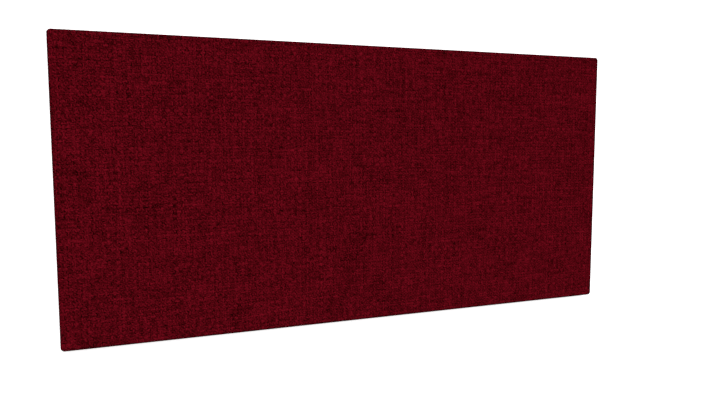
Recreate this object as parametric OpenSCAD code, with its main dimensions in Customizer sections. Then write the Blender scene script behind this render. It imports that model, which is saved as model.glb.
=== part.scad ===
// Fabric-wrapped acoustic wall panel, lying on its back with its face up.
//
// The core is one rigid glass-fibre board. One sheet of woven fabric is stretched
// over its face and round its sides, and turned onto its back, where it is glued
// down. At each corner the spare fabric is folded in first, trimmed and pressed
// into the board, and the two returns meet over it in a mitre.
//
// X runs along the panel's width, Y along its height and Z out of its face. The
// origin is at the middle of the back, on the plane that the returns lie on.

/* [Panel] */
// Finished width, over the fabric
panel_w = 1220; // [400:5:2440]
// Finished height, over the fabric
panel_h = 600; // [300:5:1220]
// Thickness of the glass-fibre board
core_t = 25; // [15:1:50]
// Radius of the four corners, seen from the front
corner_r = 7.5; // [5:0.5:20]
// Radius from the face to the sides, over the fabric
front_edge_r = 3; // [2:0.1:4]
// Radius from the sides to the back, over the fabric
back_edge_r = 2.5; // [2:0.1:4]

/* [Fabric] */
// Thickness of the woven fabric
fabric_t = 1; // [0.6:0.1:1.4]
// Width of the returns on the back, from the side to the cut edge
return_w = 38; // [28:1:60]
// Gap in the mitre between two returns
mitre_gap = 0.8; // [0.4:0.1:1.5]
// Depth of the crease where the folded fabric turns each corner
crease_depth = 0.4; // [0.2:0.1:0.5]
// How far the spare fabric folded in at a corner stops short of the cut edges
tuck_inset = 4; // [2:0.5:8]
// How much is trimmed off the tip of that spare fabric, along each edge
tuck_trim = 7; // [3:1:11]

/* [Hidden] */
$fn = 96;

overrun = 1;                          // how far a cutter runs past a face
quarter_turn = 90;
core_w = panel_w - 2 * fabric_t;
core_h = panel_h - 2 * fabric_t;
core_r = corner_r - fabric_t;         // the board's own corners
panel_t = core_t + 2 * fabric_t;      // from the returns to the face
flat_w = panel_w - 2 * corner_r;      // between the corners' centres
flat_h = panel_h - 2 * corner_r;

fabric_colour = [0.31, 0.03, 0.06];
board_colour = [0.80, 0.71, 0.45];

// Outside of a quarter circle, to cut a corner round
module outside_arc(r) {
    difference() {
        square(r + overrun);
        circle(r);
    }
}

// Section of a slab from x = start out to its side at x = side, with the slab's
// back at z = bottom and the two outer corners rounded
module side_section(start, side, bottom, depth, r_back, r_front) {
    difference() {
        translate([start, bottom]) square([side - start, depth]);
        translate([side - r_back, bottom + r_back]) mirror([0, 1]) outside_arc(r_back);
        translate([side - r_front, bottom + depth - r_front]) outside_arc(r_front);
    }
}

// Section of the board's rim, from the centre of a corner outwards
module board_section() {
    side_section(0, core_r, fabric_t, core_t, back_edge_r - fabric_t, front_edge_r - fabric_t);
}

// Section of the fabric where it turns round the board: face, side and return
module wrap_section() {
    difference() {
        side_section(0, corner_r, 0, panel_t, back_edge_r, front_edge_r);
        side_section(-overrun, core_r, fabric_t, core_t,
                     back_edge_r - fabric_t, front_edge_r - fabric_t);
    }
}

// Carries a section round the four sides and corners, whose centres lie at the
// corners of a rectangle flat_w by flat_h
module sweep_round_panel() {
    for (turn = [0:3]) {
        is_long = turn % 2 == 1;
        run = is_long ? flat_w : flat_h;
        out = (is_long ? flat_h : flat_w) / 2;
        rotate(turn * quarter_turn) translate([out, 0, 0]) {
            rotate([90, 0, 0]) linear_extrude(run, center = true) children();
            translate([0, run / 2, 0]) rotate_extrude(angle = quarter_turn) children();
        }
    }
}

// Puts a shape at each corner's centre, with its x axis out along the diagonal
module at_corners() {
    for (side = [-1, 1], end = [-1, 1])
        translate([side * flat_w / 2, end * flat_h / 2]) rotate(atan2(end, side)) children();
}

// Outline of the spare fabric folded in at the corners, as wide as the board's
// own outline lets it be, with its tip trimmed
module tuck_outline() {
    reach = return_w - corner_r - tuck_inset; // from a corner's centre inwards
    at_corners() rotate(-45) difference() {
        union() {
            translate([-reach, -reach]) square(reach);
            translate([-reach, 0]) square([reach, core_r]);
            translate([0, -reach]) square([core_r, reach]);
            intersection() {
                circle(core_r);
                square(core_r);
            }
        }
        translate([-reach, -reach]) rotate(45) square(tuck_trim * sqrt(2), center = true);
    }
}

module tucks(depth) {
    translate([0, 0, 2 * fabric_t - depth]) linear_extrude(depth) tuck_outline();
}

// Section of the crease, which starts at nothing on the face and runs down the
// side to the mitre
module crease_section() {
    difference() {
        translate([corner_r - front_edge_r + crease_depth, -overrun])
            square([front_edge_r + overrun, panel_t + 2 * overrun]);
        translate([-crease_depth, 0])
            side_section(0, corner_r, 0, panel_t, back_edge_r, front_edge_r);
    }
}

module creases() {
    at_corners() rotate([90, 0, 0]) linear_extrude(mitre_gap, center = true) crease_section();
}

// Slots between the returns, from the rounded back edge in to the cut edges
module mitres() {
    start = corner_r - back_edge_r - mitre_gap;
    finish = (return_w - corner_r) * sqrt(2) + overrun;
    translate([0, 0, -overrun]) linear_extrude(overrun + fabric_t) at_corners() {
        translate([-finish, -mitre_gap / 2]) square([finish + start, mitre_gap]);
        translate([start, 0]) circle(d = mitre_gap);
    }
}

module core_board() {
    color(board_colour) difference() {
        union() {
            sweep_round_panel() board_section();
            translate([-flat_w / 2, -flat_h / 2, fabric_t]) cube([flat_w, flat_h, core_t]);
        }
        tucks(fabric_t + overrun);
    }
}

module fabric_cover() {
    color(fabric_colour) {
        difference() {
            union() {
                sweep_round_panel() wrap_section();
                linear_extrude(fabric_t) difference() {
                    square([flat_w, flat_h], center = true);
                    square([panel_w - 2 * return_w, panel_h - 2 * return_w], center = true);
                }
            }
            mitres();
            creases();
        }
        translate([-flat_w / 2, -flat_h / 2, panel_t - fabric_t]) cube([flat_w, flat_h, fabric_t]);
        tucks(fabric_t);
    }
}

core_board();
fabric_cover();
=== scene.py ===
"""Dresses the fabric-wrapped acoustic panel: its stretched cloth, its bare board and the stage."""

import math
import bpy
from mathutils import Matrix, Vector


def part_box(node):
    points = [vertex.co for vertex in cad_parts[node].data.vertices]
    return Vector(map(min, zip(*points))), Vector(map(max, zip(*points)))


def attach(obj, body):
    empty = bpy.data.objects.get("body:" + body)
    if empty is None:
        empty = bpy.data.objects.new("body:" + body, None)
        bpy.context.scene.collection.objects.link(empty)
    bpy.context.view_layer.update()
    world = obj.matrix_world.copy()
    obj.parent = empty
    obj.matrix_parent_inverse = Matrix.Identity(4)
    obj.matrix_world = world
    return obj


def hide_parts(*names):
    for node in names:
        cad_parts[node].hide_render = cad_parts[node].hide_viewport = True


bl_info = {
    "name": "Fabric Acoustic Panel",
    "version": (1, 0, 0),
    "blender": (4, 5, 0),
    "location": "3D View > Sidebar > Acoustic Panel",
    "description": "Wraps an acoustic board in coarse woven cloth and sets it on a pale floor",
    "category": "Object",
}

import bmesh
import bpy
import numpy as np
from bpy.props import FloatProperty, FloatVectorProperty, PointerProperty
from mathutils import Matrix, Vector

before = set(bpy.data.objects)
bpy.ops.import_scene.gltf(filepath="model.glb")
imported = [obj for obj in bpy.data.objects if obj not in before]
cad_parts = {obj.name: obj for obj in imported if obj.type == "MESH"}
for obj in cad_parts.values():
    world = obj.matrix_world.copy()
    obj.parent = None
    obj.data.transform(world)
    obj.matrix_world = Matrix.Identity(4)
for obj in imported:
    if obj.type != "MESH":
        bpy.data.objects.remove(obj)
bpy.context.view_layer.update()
COVER_LOW, COVER_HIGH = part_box("fabric_cover")
BOARD_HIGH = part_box("core_board")[1]

PANEL_W = COVER_HIGH.x - COVER_LOW.x
PANEL_H = COVER_HIGH.y - COVER_LOW.y
PANEL_T = COVER_HIGH.z - COVER_LOW.z
CLOTH_T = COVER_HIGH.z - BOARD_HIGH.z

QUARTER = math.pi / 2
DIAGONAL = math.pi / 4

# The picture's size in pixels and the camera's sensor
PHOTO_W = 706
PHOTO_H = 400
SENSOR_MM = 36.0

# The map of places on the flat cloth, the node group that both materials use, and the kinds of socket
CLOTH_MAP = "cloth_flat"
FIBRE_GROUP = "Fibre Streaks"
NUMBER, VECTOR = "NodeSocketFloat", "NodeSocketVector"

# Gap left to the board, distance at which points are one, and deepest hollow as a share of the cloth
SKIN_CLEARANCE = 2e-5
WELD = 2e-6
DEEPEST = 0.92

# How finely the round-overs and the corners are divided, and the crease between a corner's two halves
ROUND_STEPS = 4
FAN_STEPS = 4
SEAM_ANGLE = 0.02
CREASE_WIDTH = 0.6

# Nearest that a thread's line comes to a fixed line, in half pitches, and the least angle of a sharp edge
LINE_CLEARANCE = 0.3
SHARP_ANGLE = math.radians(55)

# Section of a thread and how far it swings over and under the next one, in thread pitches
YARN_WIDTH = 0.97
YARN_ROUND = 0.9
YARN_SWING = 0.5
WEAVE_SPAN = YARN_SWING + YARN_ROUND * (1 - math.sqrt(1 - YARN_WIDTH**2))

# Means of the weave's ridge and rise over the cloth, and the most light that a gap takes away
RIDGE_MEAN = 0.75
RISE_MEAN = 0.6
DARKEST_GAP_SHADE = 0.95

# Steps in the noise that keep one thread's pattern apart from the next one's
WEFT_SEED = 1000.0
SEED_STEP = 7.31

# Wander of the threads, the broad patches and the finest fibres in the cloth's finish
WANDER_LENGTH = 0.04
BLOTCH_SCALE = 12.0
FINE_LENGTH = 0.003
FINE_WIDTH = 0.0005
FINE_DETAIL = 2.0
FIBRE_ROUGHNESS = 0.6

# The board's layers of fibre, by angle and size, and its patches of binder
WOOL_LAYERS = ((0.3, 1.0), (1.2, 0.8), (2.1, 1.2), (2.8, 0.6))
WOOL_WIDTH = 0.0012
WOOL_HEIGHT = 0.0015
WOOL_DETAIL = 2.0
WOOL_MEAN = 0.62
WOOL_CHANGE = 0.9
BINDER_SCALE = 18.0
BINDER_DETAIL = 3.0
BINDER_CHANGE = 0.6

# The floor, and how far it lies under the panel's back
FLOOR_SIZE = 60.0
FLOOR_GAP = 5e-5


class PanelCloth(bpy.types.PropertyGroup):
    """Sizes and colours of the cloth"""

    corner_radius: FloatProperty(
        name="Corner radius",
        description="Radius of the panel's corners, seen from the front",
        default=0.0075, min=0.005, max=0.02, unit="LENGTH",
    )
    front_round: FloatProperty(
        name="Front round-over",
        description="Radius from the face to the sides",
        default=0.003, min=0.002, max=0.004, unit="LENGTH",
    )
    back_round: FloatProperty(
        name="Back round-over",
        description="Radius from the sides to the back",
        default=0.0025, min=0.002, max=0.004, unit="LENGTH",
    )
    return_width: FloatProperty(
        name="Return width",
        description="Cloth turned onto the back, from the side to the cut edge",
        default=0.038, min=0.028, max=0.06, unit="LENGTH",
    )
    mitre_gap: FloatProperty(
        name="Mitre gap",
        description="Gap between two returns where they meet at a corner",
        default=0.0008, min=0.0004, max=0.0015, unit="LENGTH",
    )
    crease_depth: FloatProperty(
        name="Crease depth",
        description="Depth of the crease where the folded cloth turns a corner",
        default=0.0004, min=0.0002, max=0.0005, unit="LENGTH",
    )
    tuck_inset: FloatProperty(
        name="Tuck inset",
        description="How far the cloth folded in at a corner stops short of the cut edges",
        default=0.004, min=0.002, max=0.008, unit="LENGTH",
    )
    tuck_trim: FloatProperty(
        name="Tuck trim",
        description="How much is trimmed off the tip of the cloth folded in at a corner",
        default=0.007, min=0.003, max=0.011, unit="LENGTH",
    )
    warp_pitch: FloatProperty(
        name="Warp pitch",
        description="Distance between the threads that run up the panel",
        default=0.311 / 41, min=0.002, max=0.02, unit="LENGTH",
    )
    weft_pitch: FloatProperty(
        name="Weft pitch",
        description="Distance between the threads that run across the panel",
        default=0.311 / 47, min=0.002, max=0.02, unit="LENGTH",
    )
    relief: FloatProperty(
        name="Relief",
        description="Depth of the hollows between the threads",
        default=0.0004, min=0.0, max=0.0008, unit="LENGTH",
    )
    rounding: FloatProperty(
        name="Rounding",
        description="Depth of the finer rounding between the threads, in the surface finish",
        default=0.0004, min=0.0, max=0.002, unit="LENGTH",
    )
    fibre_relief: FloatProperty(
        name="Fibre relief",
        description="Height of the fibres in a thread, in the surface finish",
        default=0.0003, min=0.0, max=0.002, unit="LENGTH",
    )
    broad_size: FloatProperty(
        name="Broad gap size",
        description="Radius of every second gap where four threads meet, as a share of their spacing",
        default=0.274, min=0.02, max=0.5, subtype="FACTOR",
    )
    broad_stretch: FloatProperty(
        name="Broad gap stretch",
        description="How far the broad gaps are drawn out along the panel's height",
        default=0.13, min=-0.9, max=0.9, subtype="FACTOR",
    )
    broad_slant: FloatProperty(
        name="Broad gap slant",
        description="How far the twist of the yarn draws the broad gaps out along one diagonal",
        default=0.111, min=-0.9, max=0.9, subtype="FACTOR",
    )
    # Painted shade in the broad gaps between the threads
    broad_gap_shade: FloatProperty(
        name="Broad gap depth",
        description="How dark the broad gaps are on average",
        default=0.441, min=0.0, max=1.0, subtype="FACTOR",
    )
    sharp_size: FloatProperty(
        name="Sharp gap size",
        description="Radius of the smaller gaps between the broad ones, as a share of their spacing",
        default=0.161, min=0.02, max=0.5, subtype="FACTOR",
    )
    sharp_stretch: FloatProperty(
        name="Sharp gap stretch",
        description="How far the sharp gaps are drawn out along the panel's height",
        default=0.188, min=-0.9, max=0.9, subtype="FACTOR",
    )
    sharp_slant: FloatProperty(
        name="Sharp gap slant",
        description="How far the twist of the yarn draws the sharp gaps out along one diagonal",
        default=0.374, min=-0.9, max=0.9, subtype="FACTOR",
    )
    # Painted shade in the sharp gaps between the threads
    sharp_gap_shade: FloatProperty(
        name="Sharp gap depth",
        description="How dark the sharp gaps are on average",
        default=0.94, min=0.0, max=1.0, subtype="FACTOR",
    )
    # How much the painted gap shade changes from gap to gap, and row by row
    pore_change: FloatProperty(
        name="Pore change",
        description="How much one gap differs from the next, as a share of their average depth",
        default=0.5, min=0.0, max=4.0, subtype="FACTOR",
    )
    gap_change: FloatProperty(
        name="Gap change",
        description="How much a whole row of gaps opens and closes, as a share of their average depth",
        default=1.6, min=0.0, max=6.0, subtype="FACTOR",
    )
    gap_length: FloatProperty(
        name="Gap length",
        description="How far two neighbouring threads stay apart or close",
        default=0.05, min=0.005, max=0.5, unit="LENGTH",
    )
    wander: FloatProperty(
        name="Wander",
        description="How far the threads wander, as a share of their spacing",
        default=0.3, min=0.0, max=1.0, subtype="FACTOR",
    )
    ply_change: FloatProperty(
        name="Ply change",
        description="Change of shade between the plies of a thread, in long streaks",
        default=1.35, min=0.0, max=4.0,
    )
    ply_length: FloatProperty(
        name="Ply length",
        description="Length of the streaks that the plies make",
        default=0.06, min=0.005, max=0.5, unit="LENGTH",
    )
    ply_width: FloatProperty(
        name="Ply width",
        description="Width of the streaks that the plies make",
        default=0.002, min=0.0005, max=0.02, unit="LENGTH",
    )
    fibre_length: FloatProperty(
        name="Fibre length",
        description="Length of the flecks that bunches of fibre make",
        default=0.0035, min=0.0005, max=0.05, unit="LENGTH",
    )
    fibre_width: FloatProperty(
        name="Fibre width",
        description="Width of the flecks that bunches of fibre make",
        default=0.0015, min=0.0005, max=0.02, unit="LENGTH",
    )
    crossing_change: FloatProperty(
        name="Crossing change",
        description="Change of shade from one crossing to the next",
        default=0.2, min=0.0, max=4.0,
    )
    fibre_change: FloatProperty(
        name="Fibre change",
        description="Change of shade from fibre to fibre",
        default=2.1, min=0.0, max=4.0,
    )
    twist: FloatProperty(
        name="Twist",
        description="Angle of the fibres to the thread",
        default=math.radians(20), subtype="ANGLE",
    )
    base_shade: FloatProperty(
        name="Base shade",
        description="Shade of the yarn before all changes, from dark at 0 to bright at 1",
        default=0.56, min=0.0, max=1.0, subtype="FACTOR",
    )
    blotch: FloatProperty(
        name="Blotch",
        description="Change of shade over broad, faint patches",
        default=0.2, min=0.0, max=4.0,
    )
    # Painted shade: the cloth is drawn darker along the round-overs at the front and back edges, where it
    # turns away from the light
    painted_edge_shade: FloatProperty(
        name="Fold shade",
        description="How much darker the cloth is where it opens, pulled round the panel's edges",
        default=0.32, min=0.0, max=1.0, subtype="FACTOR",
    )
    painted_edge_shade_width: FloatProperty(
        name="Fold width",
        description="How far from the middle of an edge the cloth stays darker",
        default=0.003, min=0.0005, max=0.01, unit="LENGTH",
    )
    # Painted shade: the sides of each thread on top are drawn darker than its middle, as a rounded thread
    # shades away from the light
    ridge_painted_shade: FloatProperty(
        name="Ridge change",
        description="Change of shade from the sides of a thread to its middle",
        default=0.1, min=-4.0, max=4.0,
    )
    rise_change: FloatProperty(
        name="Rise change",
        description="Change of shade from where a thread dips to its crown",
        default=-0.21, min=-4.0, max=4.0,
    )
    dark: FloatVectorProperty(
        name="Dark yarn",
        description="Darkest fibres in the heathered yarn",
        default=(0.0078, 0.00018, 0.00043), min=0.0, max=1.0, subtype="COLOR",
    )
    middle: FloatVectorProperty(
        name="Middle yarn",
        description="Commonest colour of the heathered yarn",
        default=(0.0691, 0.00166, 0.0039), min=0.0, max=1.0, subtype="COLOR",
    )
    bright: FloatVectorProperty(
        name="Bright yarn",
        description="Brightest fibres in the heathered yarn",
        default=(0.1785, 0.00415, 0.0116), min=0.0, max=1.0, subtype="COLOR",
    )


class PanelBoard(bpy.types.PropertyGroup):
    """Finish of the bare board that shows on the back"""

    wool: FloatVectorProperty(
        name="Wool",
        description="Colour of the bound glass fibre",
        default=(0.52, 0.37, 0.115), min=0.0, max=1.0, subtype="COLOR",
    )
    binder: FloatVectorProperty(
        name="Binder",
        description="Colour where the resin binder is thick",
        default=(0.33, 0.19, 0.045), min=0.0, max=1.0, subtype="COLOR",
    )
    fibre_length: FloatProperty(
        name="Fibre length",
        description="Length of the streaks that bundles of fibre make",
        default=0.03, min=0.005, max=0.1, unit="LENGTH",
    )


class PanelStage(bpy.types.PropertyGroup):
    """Camera, lamps and floor"""

    lens: FloatProperty(
        name="Lens",
        description="Focal length on a 36 mm sensor",
        default=29.604, min=10.0, max=200.0, unit="CAMERA",
    )
    distance: FloatProperty(
        name="Distance",
        description="From the middle of the panel's face to the camera",
        default=1.26747, min=0.3, max=10.0, unit="LENGTH",
    )
    yaw: FloatProperty(
        name="Yaw",
        description="How far the camera stands round to the panel's left",
        default=math.radians(19.167), subtype="ANGLE",
    )
    pitch: FloatProperty(
        name="Pitch",
        description="How far the camera stands towards the panel's top",
        default=math.radians(4.839), subtype="ANGLE",
    )
    aim_column: FloatProperty(
        name="Aim column",
        description="Where the middle of the face falls, in pixels from the picture's left",
        default=366.34,
    )
    aim_row: FloatProperty(
        name="Aim row",
        description="Where the middle of the face falls, in pixels from the picture's top",
        default=184.88,
    )
    lamp_share: FloatProperty(
        name="Lamp share",
        description="Share of the light on a level face that comes from the lamp, not from all round",
        default=0.8, min=0.0, max=1.0, subtype="FACTOR",
    )
    lamp_spread: FloatProperty(
        name="Lamp spread",
        description="Apparent width of the lamp",
        default=math.radians(50), subtype="ANGLE",
    )
    lamp_tilt: FloatProperty(
        name="Lamp tilt",
        description="How far the lamp stands from straight above",
        default=math.radians(42), subtype="ANGLE",
    )
    lamp_turn: FloatProperty(
        name="Lamp turn",
        description="Which way round the lamp stands",
        default=math.radians(82), subtype="ANGLE",
    )
    floor_colour: FloatVectorProperty(
        name="Floor",
        description="Colour of the floor",
        default=(0.8, 0.8, 0.8), min=0.0, max=1.0, subtype="COLOR",
    )
    floor_lift: FloatProperty(
        name="Floor lift",
        description="How much whiter the floor looks to the camera than it is lit",
        default=0.8, min=0.0, max=1.0,
    )


def smooth_step(x):
    x = np.clip(x, 0, 1)
    return x * x * (3 - 2 * x)


def section_marks(cloth):
    """Where the face, its round-over, the side and the back round-over end, along the section."""
    flat = cloth.corner_radius - cloth.front_round
    side = PANEL_T - cloth.front_round - cloth.back_round
    return np.cumsum([flat, QUARTER * cloth.front_round, side, QUARTER * cloth.back_round])


def section(rho, cloth):
    """The cloth's outer side rho along its section from a corner's centre.

    Gives how far out from the centre it lies, its height, and its normal's two parts."""
    front, back = cloth.front_round, cloth.back_round
    marks = section_marks(cloth)
    over = np.clip((rho - marks[0]) / front, 0, QUARTER)
    down = np.clip(rho - marks[1], 0, marks[2] - marks[1])
    under = np.clip((rho - marks[2]) / back, 0, QUARTER)
    inward = np.maximum(rho - marks[3], 0)
    out = np.minimum(rho, marks[0]) + front * np.sin(over) - back * (1 - np.cos(under)) - inward
    z = PANEL_T - front * (1 - np.cos(over)) - down - back * np.sin(under)
    angle = over + under
    return out, z, np.sin(angle), np.cos(angle)


def yarn_section(x):
    return np.sqrt(np.maximum(0, 1 - (2 * YARN_WIDTH * x) ** 2))


def weave_depth(u, v, cloth):
    """How deep the surface lies under the threads' crowns, from 0 to 1, at a flat-cloth place."""
    i, j = np.floor(u / cloth.warp_pitch), np.floor(v / cloth.weft_pitch)
    a, b = u / cloth.warp_pitch - i - 0.5, v / cloth.weft_pitch - j - 0.5
    swing = YARN_SWING * (1 - 2 * np.mod(i + j, 2))
    warp = swing * np.cos(np.pi * b) + YARN_ROUND * (yarn_section(a) - 1)
    weft = -swing * np.cos(np.pi * a) + YARN_ROUND * (yarn_section(b) - 1)
    return (YARN_SWING - np.maximum(warp, weft)) / WEAVE_SPAN


def grid_lines(low, high, pitch, extra=()):
    """A line at the middle and edges of each thread from low to high, and at the ends and extras."""
    half = pitch / 2
    lines = np.arange(math.ceil(low / half), math.floor(high / half) + 1) * half
    fixed = np.array([low, high, *extra])
    fixed = np.unique(fixed[(fixed >= low) & (fixed <= high)].round(9))
    clear = np.abs(lines[:, None] - fixed).min(1) > LINE_CLEARANCE * half
    return np.sort(np.concatenate([lines[clear], fixed]))


def turned(pairs, quarters):
    """Pairs (x, y) turned by a number of quarter turns about the panel's middle."""
    cos, sin = ((1, 0), (0, 1), (-1, 0), (0, -1))[quarters % 4]
    x, y = pairs[..., 0], pairs[..., 1]
    return np.stack([cos * x - sin * y, sin * x + cos * y], -1)


class Skin:
    """Points, faces and flat-cloth places, gathered patch by patch into a bmesh."""

    def __init__(self):
        self.bm = bmesh.new()
        self.flat = self.bm.loops.layers.uv.new(CLOTH_MAP)

    def grid(self, points, flats):
        """Adds a grid of points, shape (rows, columns, 3), and returns its vertices and flat places."""
        rows, columns = points.shape[:2]
        verts = [self.bm.verts.new(p) for p in points.reshape(-1, 3)]
        places = flats.reshape(-1, 2)
        for r in range(rows - 1):
            for c in range(columns - 1):
                k = r * columns + c
                self.face([(verts[n], places[n]) for n in (k, k + 1, k + columns + 1, k + columns)])
        return np.array(verts, dtype=object).reshape(rows, columns), flats

    def face(self, corners):
        face = self.bm.faces.new([v for v, _ in corners])
        for loop, (_, place) in zip(face.loops, corners):
            loop[self.flat].uv = place

    def cut(self, point, normal):
        """Cuts away what lies on the normal's side of a plane."""
        bm = self.bm
        bmesh.ops.bisect_plane(
            bm, geom=[*bm.verts, *bm.edges, *bm.faces], dist=WELD / 2,
            plane_co=point, plane_no=normal, clear_outer=True,
        )

    def take(self, other):
        """Adds another skin's faces to this one and ends it."""
        mesh = bpy.data.meshes.new("patch")
        other.bm.to_mesh(mesh)
        other.bm.free()
        self.bm.from_mesh(mesh)
        bpy.data.meshes.remove(mesh)


class Wrap:
    """Lays the cloth over the board: each of its four sides has a straight run and two half corners."""

    def __init__(self, cloth):
        self.cloth = cloth
        self.skin = Skin()
        self.marks = section_marks(cloth)
        radius = cloth.corner_radius
        self.flat_w = PANEL_W / 2 - radius
        self.flat_h = PANEL_H / 2 - radius
        self.slot_reach = radius - cloth.back_round - cloth.mitre_gap
        self.rho_slot = self.marks[3] + cloth.mitre_gap
        self.rho_centre = self.marks[3] + radius - cloth.back_round
        self.rho_end = self.marks[3] + cloth.return_width - cloth.back_round
        self.slot_angle = DIAGONAL - math.asin(cloth.mitre_gap / 2 / self.slot_reach)

    def side(self, k):
        """Half lengths out and along, and thread pitches out and along, of side k."""
        cloth = self.cloth
        if k % 2:
            return self.flat_h, self.flat_w, cloth.weft_pitch, cloth.warp_pitch
        return self.flat_w, self.flat_h, cloth.warp_pitch, cloth.weft_pitch

    def section_lines(self, k):
        """The lines along side k, by how far out they lie in the cloth from the corners' centres."""
        half_out, _, pitch, _ = self.side(k)
        over = np.linspace(self.marks[0], self.marks[1], ROUND_STEPS + 1)
        under = np.linspace(self.marks[2], self.marks[3], ROUND_STEPS + 1)
        fixed = half_out + np.concatenate([over, under, [self.rho_slot, self.rho_centre]])
        return grid_lines(half_out, half_out + self.rho_end, pitch, fixed) - half_out

    def lay(self, skin, k, heading, along, rho, flats, crease):
        """Adds a grid to side k: rho out from the corners' centres, along the side, headed outwards."""
        half_out = self.side(k)[0]
        out, z, n_out, n_z = section(rho, self.cloth)
        flats = turned(flats, k)
        depth = self.cloth.relief * weave_depth(flats[..., 0], flats[..., 1], self.cloth) + crease
        depth = np.minimum(depth, DEEPEST * CLOTH_T)
        reach = (out - n_out * depth)[..., None] * heading
        local = reach + np.stack([half_out + 0 * along, along], -1)
        points = np.concatenate([turned(local, k), (z - n_z * depth)[..., None]], -1)
        return skin.grid(points, flats)

    def run(self, skin, k, rho):
        """The straight stretch of side k."""
        half_out, half_along, _, pitch = self.side(k)
        along = grid_lines(-half_along, half_along, pitch)
        rho, along = np.meshgrid(rho, along, indexing="ij")
        flats = np.stack([half_out + rho, along], -1)
        self.lay(skin, k, np.array([1.0, 0.0]), along, rho, flats, 0)

    def half_corner(self, skin, k, end, rho, angles):
        """Half of a corner at one end of side k, from the straight stretch to the diagonal."""
        half_out, half_along, _, _ = self.side(k)
        rho, phi = np.meshgrid(rho, angles, indexing="ij")
        out = section(rho, self.cloth)[0]
        on_side = smooth_step((rho - self.marks[0]) / (self.marks[1] - self.marks[0]))
        on_back = smooth_step((rho - self.marks[2]) / (self.marks[3] - self.marks[2]))
        bent = 1 - np.cos(phi)
        ahead = rho * (1 - (1 - on_side) * bent) + on_back * out * bent
        round_side = out * (phi + on_back * (np.sin(phi) - phi))
        sideways = (1 - on_side) * rho * np.sin(phi) + on_side * round_side
        flats = np.stack([half_out + ahead, end * (half_along + sideways)], -1)
        from_fold = out * (DIAGONAL - phi) / (CREASE_WIDTH * self.cloth.mitre_gap)
        crease = self.cloth.crease_depth * np.exp(-(from_fold**2)) * on_side
        heading = np.stack([np.cos(phi), end * np.sin(phi)], -1)
        return self.lay(skin, k, heading, end * half_along + 0 * rho, rho, flats, crease)

    def add_return(self, k):
        """The return of side k on the back, cut along its two mitres."""
        skin = Skin()
        rho = self.section_lines(k)
        rho = rho[rho > self.rho_slot - WELD]
        self.run(skin, k, rho)
        angles = np.append(np.linspace(0, self.slot_angle, FAN_STEPS + 1), DIAGONAL)
        for end in (-1, 1):
            self.half_corner(skin, k, end, rho[rho < self.rho_centre + WELD], angles)
        half_out, half_along, _, _ = self.side(k)
        for end in (-1, 1):
            normal = turned(np.array([-1.0, end]) / math.sqrt(2), k)
            corner = turned(np.array([half_out, end * half_along]), k)
            skin.cut((*(corner - normal * self.cloth.mitre_gap / 2), 0), (*normal, 0))
        self.skin.take(skin)

    def zip_corner(self, one, other):
        """Joins the last columns of two half corners, whose lines lie at different places."""
        (a, flat_a, rho_a), (b, flat_b, rho_b) = one, other
        i = j = 0
        while i < len(a) - 1 or j < len(b) - 1:
            corners = [(a[i], flat_a[i]), (b[j], flat_b[j])]
            if j == len(b) - 1 or (i < len(a) - 1 and rho_a[i + 1] <= rho_b[j + 1]):
                i += 1
                corners.insert(1, (a[i], flat_a[i]))
            else:
                j += 1
                corners.insert(1, (b[j], flat_b[j]))
            self.skin.face(corners)

    def add_outside(self):
        """The outside of the cloth: its returns, its face, its four sides and its corners."""
        skin, cloth = self.skin, self.cloth
        for k in range(4):
            self.add_return(k)
        x = grid_lines(-self.flat_w, self.flat_w, cloth.warp_pitch)
        y = grid_lines(-self.flat_h, self.flat_h, cloth.weft_pitch)
        flats = np.stack(np.meshgrid(x, y, indexing="ij"), -1)
        z = PANEL_T - cloth.relief * weave_depth(flats[..., 0], flats[..., 1], cloth)
        skin.grid(np.concatenate([flats, z[..., None]], -1), flats)
        seam = DIAGONAL - SEAM_ANGLE
        fan = np.linspace(0, self.slot_angle, FAN_STEPS + 1)
        angles = np.append(fan, [(self.slot_angle + seam) / 2, seam])
        last = {}
        for k in range(4):
            rho = self.section_lines(k)
            rho = rho[rho < self.rho_slot + WELD]
            self.run(skin, k, rho)
            for end in (-1, 1):
                verts, flats = self.half_corner(skin, k, end, rho, angles)
                last[k, end] = verts[:, -1], flats[:, -1], rho
        for k in range(4):
            self.zip_corner(last[k, 1], last[(k + 1) % 4, -1])
        bmesh.ops.remove_doubles(skin.bm, verts=skin.bm.verts, dist=WELD)

    def ring(self, inset, z):
        """A ring of points round the board, inset from its sides, as a list for each side."""
        radius = self.cloth.corner_radius - CLOTH_T + SKIN_CLEARANCE - inset
        step = QUARTER / FAN_STEPS
        half_fan = FAN_STEPS // 2
        sides = []
        for k in range(4):
            half_out, half_along, _, _ = self.side(k)
            places = [(-1, -step * n) for n in range(half_fan, -1, -1)]
            places += [(1, step * n) for n in range(half_fan)]
            local = [
                (half_out + radius * math.cos(phi), end * half_along + radius * math.sin(phi))
                for end, phi in places
            ]
            sides.append([self.skin.bm.verts.new((*p, z)) for p in turned(np.array(local), k)])
        return sides

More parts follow.
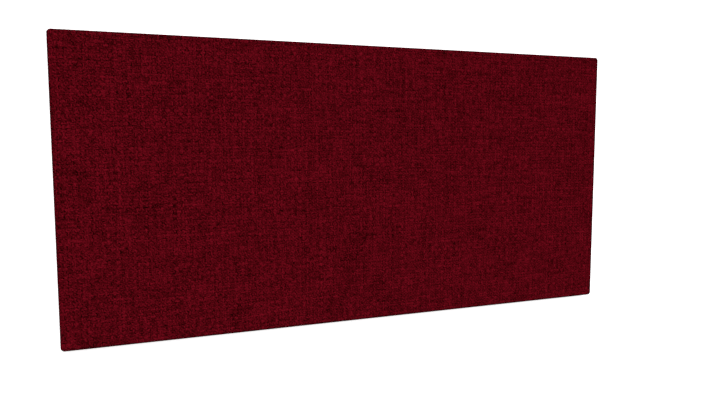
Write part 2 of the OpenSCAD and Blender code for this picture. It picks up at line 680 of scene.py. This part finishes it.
    def add_inside(self):
        """The cut edges, and the side of the cloth that lies against the board."""
        bm = self.skin.bm
        rim = [e for e in bm.edges if e.is_boundary]
        made = bmesh.ops.extrude_edge_only(bm, edges=rim)["geom"]
        low = CLOTH_T - SKIN_CLEARANCE
        for vert in (g for g in made if isinstance(g, bmesh.types.BMVert)):
            vert.co.z = low
        cut = [g for g in made if isinstance(g, bmesh.types.BMEdge) and g.is_boundary]
        rim_sides = self.split_by_side(closed_walk(cut))
        under, over = self.cloth.back_round - CLOTH_T, self.cloth.front_round - CLOTH_T
        high = PANEL_T - CLOTH_T + SKIN_CLEARANCE
        turns = np.linspace(0, QUARTER, ROUND_STEPS + 1)
        levels = [(under * (1 - math.sin(a)), low + under * (1 - math.cos(a))) for a in turns]
        levels += [(over * (1 - math.cos(a)), high - over * (1 - math.sin(a))) for a in turns]
        rings = [self.ring(inset, z) for inset, z in levels]
        for k in range(4):
            after = (k + 1) % 4
            ring, rim = rings[0][k], rim_sides[k]
            bm.faces.new([*ring, rings[0][after][0], *reversed(rim)])
            bm.faces.new([rings[0][after][0], rim_sides[after][0], rim[-1]])
        rings = [sum(ring, []) for ring in rings]
        for lower, upper in zip(rings, rings[1:]):
            for n in range(len(lower)):
                bm.faces.new([lower[n - 1], lower[n], upper[n], upper[n - 1]])
        bm.faces.new(rings[-1])

    def split_by_side(self, verts):
        """A closed walk along the cloth's cut edge, split into its four sides."""
        def side_of(vert):
            x, y = vert.co.x, vert.co.y
            if abs(x) - self.flat_w > abs(y) - self.flat_h:
                return 0 if x > 0 else 2
            return 1 if y > 0 else 3

        if signed_area(verts) < 0:
            verts = verts[::-1]
        sides = [side_of(v) for v in verts]
        start = next(n for n in range(len(verts)) if sides[n] == 0 and sides[n - 1] == 3)
        verts = verts[start:] + verts[:start]
        return [[v for v in verts if side_of(v) == k] for k in range(4)]

    def add_tucks(self):
        """The spare cloth folded in under each mitre, pressed into the board."""
        cloth, bm = self.cloth, self.skin.bm
        radius = cloth.corner_radius - CLOTH_T - SKIN_CLEARANCE
        reach = cloth.return_width - cloth.corner_radius - cloth.tuck_inset
        turns = np.linspace(0, QUARTER, FAN_STEPS + 1)
        outline = [(cloth.tuck_trim - reach, -reach), (radius, -reach)]
        outline += [(radius * math.cos(a), radius * math.sin(a)) for a in turns]
        outline += [(-reach, radius), (-reach, cloth.tuck_trim - reach)]
        for k in range(4):
            half_out, half_along, _, _ = self.side(k)
            places = turned(np.array(outline) + (half_out, half_along), k)
            low = [bm.verts.new((*p, CLOTH_T + SKIN_CLEARANCE)) for p in places]
            high = [bm.verts.new((*p, 2 * CLOTH_T - SKIN_CLEARANCE)) for p in places]
            for n in range(len(low)):
                bm.faces.new([low[n - 1], low[n], high[n], high[n - 1]])
            bm.faces.new(low)
            bm.faces.new(high)

    def flat_size(self):
        return 2 * (self.flat_w + self.rho_end), 2 * (self.flat_h + self.rho_end)


def closed_walk(edges):
    """The vertices of a closed loop of edges, in order."""
    edges = list(edges)
    loop = set(edges)
    walk = [edges[0].verts[0], edges[0].verts[1]]
    edge = edges[0]
    while True:
        edge = next(e for e in walk[-1].link_edges if e in loop and e is not edge)
        vert = edge.other_vert(walk[-1])
        if vert is walk[0]:
            return walk
        walk.append(vert)


def signed_area(verts):
    """Twice the area inside a closed walk seen from above, negative where it runs clockwise."""
    places = np.array([v.co.xy for v in verts])
    after = np.roll(places, -1, 0)
    return np.sum(places[:, 0] * after[:, 1] - places[:, 1] * after[:, 0])


def lay_flat_places(bm, layer):
    """Gives the faces that have no flat-cloth place one from where they lie, seen from above."""
    for face in bm.faces:
        if all(loop[layer].uv.length_squared == 0 for loop in face.loops):
            for loop in face.loops:
                loop[layer].uv = loop.vert.co.xy


def wrap_cloth(cloth):
    """Builds the cover's mesh and returns it with the flat size of the cloth."""
    wrap = Wrap(cloth)
    wrap.add_outside()
    wrap.add_inside()
    wrap.add_tucks()
    bm = wrap.skin.bm
    lay_flat_places(bm, wrap.skin.flat)
    bmesh.ops.recalc_face_normals(bm, faces=bm.faces)
    mesh = bpy.data.meshes.new("woven_cover")
    bm.to_mesh(mesh)
    bm.free()
    mesh.shade_smooth()
    mesh.set_sharp_from_angle(angle=SHARP_ANGLE)
    return mesh, wrap.flat_size()


class Field:
    """A number that varies over a surface. Formulas of fields become Math nodes."""

    def __init__(self, tree, socket):
        self.tree, self.socket = tree, socket

    def math(self, operation, *values):
        node = self.tree.nodes.new("ShaderNodeMath")
        node.operation = operation
        for socket, value in zip(node.inputs, values):
            join(self.tree, value, socket)
        return Field(self.tree, node.outputs[0])

    def __add__(self, other):
        return self.math("ADD", self, other)

    def __sub__(self, other):
        return self.math("SUBTRACT", self, other)

    def __rsub__(self, other):
        return self.math("SUBTRACT", other, self)

    def __mul__(self, other):
        return self.math("MULTIPLY", self, other)

    def __truediv__(self, other):
        return self.math("DIVIDE", self, other)

    def __pow__(self, other):
        return self.math("POWER", self, other)

    __radd__ = __add__
    __rmul__ = __mul__

    def floor(self):
        return self.math("FLOOR", self)

    def cos(self):
        return self.math("COSINE", self)

    def exp(self):
        return self.math("EXPONENT", self)

    def absolute(self):
        return self.math("ABSOLUTE", self)

    def sqrt(self):
        return self.math("SQRT", self.math("MAXIMUM", self, 0.0))

    def over(self, other):
        return self.math("GREATER_THAN", self, other)

    def larger(self, other):
        return self.math("MAXIMUM", self, other)

    def smaller(self, other):
        return self.math("MINIMUM", self, other)


def join(tree, value, socket):
    """Feeds a socket from a field or another socket, or sets its value."""
    if isinstance(value, Field):
        value = value.socket
    if isinstance(value, bpy.types.NodeSocket):
        tree.links.new(value, socket)
    else:
        socket.default_value = value


def add(tree, kind, inputs=None, **settings):
    """Adds a node to a tree, set up and fed, and returns it."""
    node = tree.nodes.new(kind)
    for name, value in settings.items():
        setattr(node, name, value)
    for key, value in (inputs or {}).items():
        join(tree, value, node.inputs[key])
    return node


def parts(tree, vector):
    """The three parts of a vector, as fields."""
    node = add(tree, "ShaderNodeSeparateXYZ", {"Vector": vector})
    return [Field(tree, socket) for socket in node.outputs]


def vector(tree, x=0.0, y=0.0, z=0.0):
    return add(tree, "ShaderNodeCombineXYZ", {"X": x, "Y": y, "Z": z}).outputs[0]


def noise(tree, place, scale, detail=0.0, roughness=0.5):
    settings = {"Vector": place, "Scale": scale, "Detail": detail, "Roughness": roughness}
    return Field(tree, add(tree, "ShaderNodeTexNoise", settings).outputs[0])


def random_cell(tree, place):
    return Field(tree, add(tree, "ShaderNodeTexWhiteNoise", {"Vector": place}).outputs[0])


def start_group(name, inputs, outputs):
    """Makes an empty node group and returns its tree, its input sockets and a way to its output."""
    tree = bpy.data.node_groups.new(name, "ShaderNodeTree")
    for socket, kind, value in inputs:
        made = tree.interface.new_socket(socket, in_out="INPUT", socket_type=kind)
        if value is not None:
            made.default_value = value
    for socket, kind in outputs:
        tree.interface.new_socket(socket, in_out="OUTPUT", socket_type=kind)
    entry = tree.nodes.new("NodeGroupInput")
    leave = tree.nodes.new("NodeGroupOutput")
    return tree, entry.outputs, leave.inputs


def yarn_section_field(x):
    return (1.0 - (x * (2 * YARN_WIDTH)) ** 2.0).sqrt()


def plain_weave_group():
    """A plain weave over flat-cloth places: the thread on top, its height, and the gaps around it."""
    tree, given, result = start_group(
        "Plain Weave",
        [("Vector", VECTOR, None), ("Warp Pitch", NUMBER, 0.01), ("Weft Pitch", NUMBER, 0.01),
         ("Wander", NUMBER, 0.0), ("Wander Length", NUMBER, 0.05),
         ("Broad Size", NUMBER, 0.2), ("Broad Stretch", NUMBER, 0.0), ("Broad Slant", NUMBER, 0.0),
         ("Sharp Size", NUMBER, 0.2), ("Sharp Stretch", NUMBER, 0.0), ("Sharp Slant", NUMBER, 0.0)],
        [("Height", NUMBER), ("Along", NUMBER), ("Across", NUMBER), ("Thread", NUMBER),
         ("Pore", NUMBER), ("Ridge", NUMBER), ("Rise", NUMBER), ("Sharp", NUMBER),
         ("Crossing", VECTOR), ("Gap", VECTOR)],
    )
    u, v, _ = parts(tree, given["Vector"])
    warp_pitch, weft_pitch = Field(tree, given["Warp Pitch"]), Field(tree, given["Weft Pitch"])
    wander = add(tree, "ShaderNodeTexNoise", {"Vector": given["Vector"], "Detail": 1.0})
    scale = Field(tree, given["Wander Length"])
    join(tree, scale.math("DIVIDE", 1.0, scale), wander.inputs["Scale"])
    drift_u, drift_v, _ = parts(tree, wander.outputs["Color"])
    share = Field(tree, given["Wander"])
    column = u / warp_pitch + (drift_u - 0.5) * share
    row = v / weft_pitch + (drift_v - 0.5) * share
    i, j = column.floor(), row.floor()
    a, b = column - i - 0.5, row - j - 0.5
    parity = (i + j).math("FLOORED_MODULO", i + j, 2.0)
    swing = (1.0 - parity * 2.0) * YARN_SWING
    warp = swing * (b * math.pi).cos() + (yarn_section_field(a) - 1.0) * YARN_ROUND
    weft = (yarn_section_field(b) - 1.0) * YARN_ROUND - swing * (a * math.pi).cos()
    on_top = warp.over(weft)
    height = 1.0 - (YARN_SWING - warp.larger(weft)) / WEAVE_SPAN
    join(tree, height, result["Height"])
    join(tree, u + (v - u) * on_top, result["Along"])
    join(tree, b * weft_pitch + (a * warp_pitch - b * weft_pitch) * on_top, result["Across"])
    join(tree, j + WEFT_SEED + (i - j - WEFT_SEED) * on_top, result["Thread"])
    join(tree, vector(tree, i, j, on_top), result["Crossing"])
    up, sideways = yarn_section_field(a), yarn_section_field(b)
    join(tree, sideways + (up - sideways) * on_top, result["Ridge"])
    rise_up, rise_sideways = swing * (b * math.pi).cos(), swing * (a * math.pi).cos() * -1.0
    join(tree, (rise_sideways + (rise_up - rise_sideways) * on_top) / YARN_SWING, result["Rise"])
    gap_i, gap_j = (column + 0.5).floor(), (row + 0.5).floor()
    sharp = (gap_i + gap_j).math("FLOORED_MODULO", gap_i + gap_j, 2.0)

    def in_turn(name):
        broad = Field(tree, given["Broad " + name])
        return broad + (Field(tree, given["Sharp " + name]) - broad) * sharp

    size, stretch, slant = in_turn("Size"), in_turn("Stretch"), in_turn("Slant")
    x, y = (column - gap_i) / size, (row - gap_j) / size
    distance = x * x * (stretch + 1.0) + y * y * (1.0 - stretch) + x * y * slant * 2.0
    join(tree, sharp, result["Sharp"])
    join(tree, (distance * -1.0).exp(), result["Pore"])
    join(tree, vector(tree, gap_i, gap_j, 0.5), result["Gap"])
    return tree


def fibre_group():
    """Streaks of fibre, which the cloth and the board share: noise drawn out along one direction."""
    if FIBRE_GROUP in bpy.data.node_groups:
        return bpy.data.node_groups[FIBRE_GROUP]
    tree, given, result = start_group(
        FIBRE_GROUP,
        [("Vector", VECTOR, None), ("Angle", NUMBER, 0.0), ("Length", NUMBER, 0.01),
         ("Width", NUMBER, 0.001), ("Detail", NUMBER, 1.0)],
        [("Fibres", NUMBER)],
    )
    turn = add(tree, "ShaderNodeVectorRotate", {"Vector": given["Vector"], "Angle": given["Angle"]},
               rotation_type="Z_AXIS")
    x, y, z = parts(tree, turn.outputs[0])
    length, width = Field(tree, given["Length"]), Field(tree, given["Width"])
    place = vector(tree, x / length, y / width, z)
    join(tree, noise(tree, place, 1.0, given["Detail"], FIBRE_ROUGHNESS), result["Fibres"])
    return tree


def place_group(tree, group, inputs):
    node = tree.nodes.new("ShaderNodeGroup")
    node.node_tree = group
    for key, value in inputs.items():
        join(tree, value, node.inputs[key])
    return node


def start_material(name):
    """Makes a material with a plain shader and returns the material, its tree and the shader."""
    material = bpy.data.materials.new(name)
    material.use_nodes = True
    tree = material.node_tree
    tree.nodes.clear()
    shader = tree.nodes.new("ShaderNodeBsdfPrincipled")
    output = tree.nodes.new("ShaderNodeOutputMaterial")
    tree.links.new(shader.outputs[0], output.inputs["Surface"])
    return material, tree, shader


def ramp(tree, amount, stops):
    """A colour ramp through (place, colour) stops."""
    node = add(tree, "ShaderNodeValToRGB", {"Fac": amount})
    elements = node.color_ramp.elements
    while len(elements) < len(stops):
        elements.new(0.5)
    for element, (place, colour) in zip(elements, stops):
        element.position = place
        element.color = (*colour, 1.0)
    return node.outputs["Color"]


def bell(x):
    """1 where a field is 0, falling away on both sides."""
    return (x * x * -1.0).exp()


def painted_edge_shade_mask(u, v, cloth):
    """Painted shade on the round-overs: 1 along the panel's front and back edges and 0 away from them, at
    a flat-cloth place.
    """
    marks = section_marks(cloth)
    out_u = u.absolute() - (PANEL_W / 2 - cloth.corner_radius)
    out_v = v.absolute() - (PANEL_H / 2 - cloth.corner_radius)
    out = out_u.larger(out_v)
    front, back = (marks[0] + marks[1]) / 2, (marks[2] + marks[3]) / 2
    edges = [bell((out - float(edge)) / cloth.painted_edge_shade_width) for edge in (front, back)]
    return edges[0] + edges[1]


def cloth_material(cloth):
    """Coarse cloth in a plain weave of heathered yarn."""
    material, tree, shader = start_material("heathered_weave")
    flat = add(tree, "ShaderNodeUVMap", uv_map=CLOTH_MAP).outputs[0]
    weave = place_group(tree, plain_weave_group(), {
        "Vector": flat, "Warp Pitch": cloth.warp_pitch, "Weft Pitch": cloth.weft_pitch,
        "Wander": cloth.wander, "Wander Length": WANDER_LENGTH,
        "Broad Size": cloth.broad_size, "Broad Stretch": cloth.broad_stretch,
        "Broad Slant": cloth.broad_slant, "Sharp Size": cloth.sharp_size,
        "Sharp Stretch": cloth.sharp_stretch, "Sharp Slant": cloth.sharp_slant,
    })
    height, along, across, thread, gap_shade_and_hollow, ridge, rise, sharp = (Field(tree, s) for s in weave.outputs[:8])
    fibres = fibre_group()
    yarn = vector(tree, along, across, thread * SEED_STEP)

    def streaks(length, width, angle=0.0, detail=1.0):
        inputs = {"Vector": yarn, "Length": length, "Width": width, "Angle": angle, "Detail": detail}
        return Field(tree, place_group(tree, fibres, inputs).outputs[0])

    gap_column, gap_row, _ = parts(tree, weave.outputs["Gap"])
    u, v, _ = parts(tree, flat)
    rows = (
        noise(tree, vector(tree, gap_column * SEED_STEP, v / cloth.gap_length), 1.0)
        + noise(tree, vector(tree, u / cloth.gap_length, gap_row * SEED_STEP, WEFT_SEED), 1.0)
    )
    # Painted shade in the gaps where threads cross: its depth changes row by row and from gap to gap, and
    # the same mask also sinks the bump there
    deep = (
        1.0 + (rows - 1.0) * cloth.gap_change
        + (random_cell(tree, weave.outputs["Gap"]) - 0.5) * cloth.pore_change
    )
    depth = sharp * (cloth.sharp_gap_shade - cloth.broad_gap_shade) + cloth.broad_gap_shade
    gap_shade_and_hollow = (gap_shade_and_hollow * deep * depth).larger(0.0).smaller(DARKEST_GAP_SHADE)
    shade = (
        cloth.base_shade
        + (streaks(cloth.ply_length, cloth.ply_width) - 0.5) * cloth.ply_change
        + (random_cell(tree, weave.outputs["Crossing"]) - 0.5) * cloth.crossing_change
        + (streaks(cloth.fibre_length, cloth.fibre_width, cloth.twist) - 0.5) * cloth.fibre_change
        + (noise(tree, flat, BLOTCH_SCALE, 1.0) - 0.5) * cloth.blotch
        # Painted shade: the sides of the thread on top darker than its middle
        + (ridge - RIDGE_MEAN) * cloth.ridge_painted_shade
        + (rise - RISE_MEAN) * cloth.rise_change
    )
    stops = [(0.0, cloth.dark), (0.5, cloth.middle), (1.0, cloth.bright)]
    # Painted shade, multiplied into the yarn colour: dark in the gaps where threads cross and along the
    # edges' round-overs
    light = (1.0 - gap_shade_and_hollow) * (1.0 - painted_edge_shade_mask(u, v, cloth) * cloth.painted_edge_shade)
    yarn_colour = ramp(tree, shade, stops)
    lit = add(tree, "ShaderNodeVectorMath", {0: yarn_colour, "Scale": light}, operation="SCALE")
    join(tree, lit.outputs[0], shader.inputs["Base Color"])
    shader.inputs["Roughness"].default_value = 0.95
    shader.inputs["Specular IOR Level"].default_value = 0.0
    fine = streaks(FINE_LENGTH, FINE_WIDTH, cloth.twist, FINE_DETAIL)
    relief = (height - gap_shade_and_hollow) * cloth.rounding + fine * cloth.fibre_relief
    bump = add(tree, "ShaderNodeBump", {"Height": relief, "Distance": 1.0})
    join(tree, bump.outputs[0], shader.inputs["Normal"])
    return material


def wool_material(board):
    """Bound glass fibre: felted streaks in every direction, darker where the binder is thick."""
    material, tree, shader = start_material("bound_glass_fibre")
    place = add(tree, "ShaderNodeTexCoord").outputs["Object"]
    fibres = fibre_group()
    layers = [
        Field(tree, place_group(tree, fibres, {
            "Vector": place, "Angle": angle, "Length": board.fibre_length * size,
            "Width": WOOL_WIDTH * size, "Detail": WOOL_DETAIL,
        }).outputs[0])
        for angle, size in WOOL_LAYERS
    ]
    top = layers[0]
    for layer in layers[1:]:
        top = top.larger(layer)
    patches = (noise(tree, place, BINDER_SCALE, BINDER_DETAIL) - 0.5) * BINDER_CHANGE
    binder = patches + 0.5 + (WOOL_MEAN - top) * WOOL_CHANGE
    stops = [(0.35, board.wool), (0.75, board.binder)]
    join(tree, ramp(tree, binder, stops), shader.inputs["Base Color"])
    shader.inputs["Roughness"].default_value = 0.9
    shader.inputs["Specular IOR Level"].default_value = 0.2
    bump = add(tree, "ShaderNodeBump", {"Height": top * WOOL_HEIGHT, "Distance": 1.0})
    join(tree, bump.outputs[0], shader.inputs["Normal"])
    return material


def seen(tree):
    """1 for what the camera sees directly, in a reflection or through glass, and 0 for all other light."""
    path = add(tree, "ShaderNodeLightPath")
    camera = Field(tree, path.outputs["Is Camera Ray"])
    return camera.larger(path.outputs["Is Glossy Ray"]).larger(path.outputs["Is Transmission Ray"])


def floor_material(stage):
    """A pale floor that looks white where it is fully lit and keeps the shadows."""
    material = bpy.data.materials.new("pale_floor")
    material.use_nodes = True
    tree = material.node_tree
    tree.nodes.clear()
    lit = add(tree, "ShaderNodeBsdfDiffuse", {"Color": (*stage.floor_colour, 1.0)})
    lift = add(tree, "ShaderNodeEmission", {"Strength": seen(tree) * stage.floor_lift})
    both = add(tree, "ShaderNodeAddShader", {0: lit.outputs[0], 1: lift.outputs[0]})
    add(tree, "ShaderNodeOutputMaterial", {"Surface": both.outputs[0]})
    return material


def make_floor(stage):
    mesh = bpy.data.meshes.new("floor")
    half = FLOOR_SIZE / 2
    around = ((-half, -half), (half, -half), (half, half), (-half, half))
    corners = [(x, y, -FLOOR_GAP) for x, y in around]
    mesh.from_pydata(corners, [], [(0, 1, 2, 3)])
    mesh.materials.append(floor_material(stage))
    floor = bpy.data.objects.new("floor", mesh)
    bpy.context.scene.collection.objects.link(floor)


def make_light(stage):
    """Even light from all round and one broad lamp, which together light a level white face to 1."""
    scene = bpy.context.scene
    world = bpy.data.worlds.new("studio")
    world.use_nodes = True
    tree = world.node_tree
    tree.nodes.clear()
    around = 1.0 - stage.lamp_share
    strength = seen(tree) * (1.0 - around) + around
    glow = add(tree, "ShaderNodeBackground", {"Color": (1.0, 1.0, 1.0, 1.0), "Strength": strength})
    add(tree, "ShaderNodeOutputWorld", {"Surface": glow.outputs[0]})
    scene.world = world
    lamp = bpy.data.lights.new("broad_lamp", "SUN")
    lamp.angle = stage.lamp_spread
    lamp.energy = stage.lamp_share * math.pi / math.cos(stage.lamp_tilt)
    holder = bpy.data.objects.new("broad_lamp", lamp)
    holder.rotation_euler = (0.0, stage.lamp_tilt, stage.lamp_turn)
    scene.collection.objects.link(holder)


def make_camera(stage):
    """A camera at the photograph's viewing angle, with the face's middle where the photograph has it."""
    scene = bpy.context.scene
    data = bpy.data.cameras.new("camera")
    data.sensor_width = SENSOR_MM
    data.lens = stage.lens
    data.shift_x = (PHOTO_W / 2 - stage.aim_column) / PHOTO_W
    data.shift_y = (stage.aim_row - PHOTO_H / 2) / PHOTO_W
    camera = bpy.data.objects.new("camera", data)
    back = Vector((
        -math.sin(stage.yaw) * math.cos(stage.pitch),
        math.sin(stage.pitch),
        math.cos(stage.yaw) * math.cos(stage.pitch),
    ))
    right = Vector((0.0, 1.0, 0.0)).cross(back).normalized()
    up = back.cross(right)
    camera.matrix_world = Matrix((right, up, back)).transposed().to_4x4()
    camera.location = Vector((0.0, 0.0, PANEL_T)) + back * stage.distance
    scene.collection.objects.link(camera)
    scene.camera = camera


class AcousticWrapCloth(bpy.types.Operator):
    """Wraps the board in woven cloth, turned in at the back with mitred corners"""

    bl_idname = "acoustic_panel.wrap_cloth"
    bl_label = "Wrap Cloth"

    def execute(self, context):
        cloth = context.scene.panel_cloth
        mesh, flat = wrap_cloth(cloth)
        mesh.materials.append(cloth_material(cloth))
        cover = bpy.data.objects.new("woven_cover", mesh)
        context.scene.collection.objects.link(cover)
        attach(cover, "root")
        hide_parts("fabric_cover")
        return {"FINISHED"}


class AcousticFinishBoard(bpy.types.Operator):
    """Gives the bare board its glass-fibre finish"""

    bl_idname = "acoustic_panel.finish_board"
    bl_label = "Finish Board"

    def execute(self, context):
        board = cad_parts["core_board"]
        wool = wool_material(context.scene.panel_board)
        for slot in board.material_slots:
            slot.material = wool
        return {"FINISHED"}


class AcousticSetStage(bpy.types.Operator):
    """Sets up the floor, the light and the camera"""

    bl_idname = "acoustic_panel.set_stage"
    bl_label = "Set Stage"

    def execute(self, context):
        stage = context.scene.panel_stage
        make_floor(stage)
        make_light(stage)
        make_camera(stage)
        context.scene.view_settings.view_transform = "Standard"
        return {"FINISHED"}


class AcousticPanelSidebar(bpy.types.Panel):
    """Lists the panel's making steps and their sizes and colours"""

    bl_idname = "ACOUSTIC_PT_sidebar"
    bl_label = "Acoustic Panel"
    bl_space_type = "VIEW_3D"
    bl_region_type = "UI"
    bl_category = "Acoustic Panel"

    def draw(self, context):
        for operator, group in STEPS:
            box = self.layout.box()
            settings = getattr(context.scene, group)
            for name in settings.__annotations__:
                box.prop(settings, name)
            box.operator(operator)


STEPS = [
    ("acoustic_panel.wrap_cloth", "panel_cloth"),
    ("acoustic_panel.finish_board", "panel_board"),
    ("acoustic_panel.set_stage", "panel_stage"),
]
CLASSES = [
    PanelCloth, PanelBoard, PanelStage,
    AcousticWrapCloth, AcousticFinishBoard, AcousticSetStage, AcousticPanelSidebar,
]


def register():
    for cls in CLASSES:
        bpy.utils.register_class(cls)
    bpy.types.Scene.panel_cloth = PointerProperty(type=PanelCloth)
    bpy.types.Scene.panel_board = PointerProperty(type=PanelBoard)
    bpy.types.Scene.panel_stage = PointerProperty(type=PanelStage)


def unregister():
    del bpy.types.Scene.panel_stage
    del bpy.types.Scene.panel_board
    del bpy.types.Scene.panel_cloth
    for cls in reversed(CLASSES):
        bpy.utils.unregister_class(cls)


def main():
    register()
    bpy.ops.acoustic_panel.wrap_cloth()
    bpy.ops.acoustic_panel.finish_board()
    bpy.ops.acoustic_panel.set_stage()


if __name__ == "__main__":
    main()
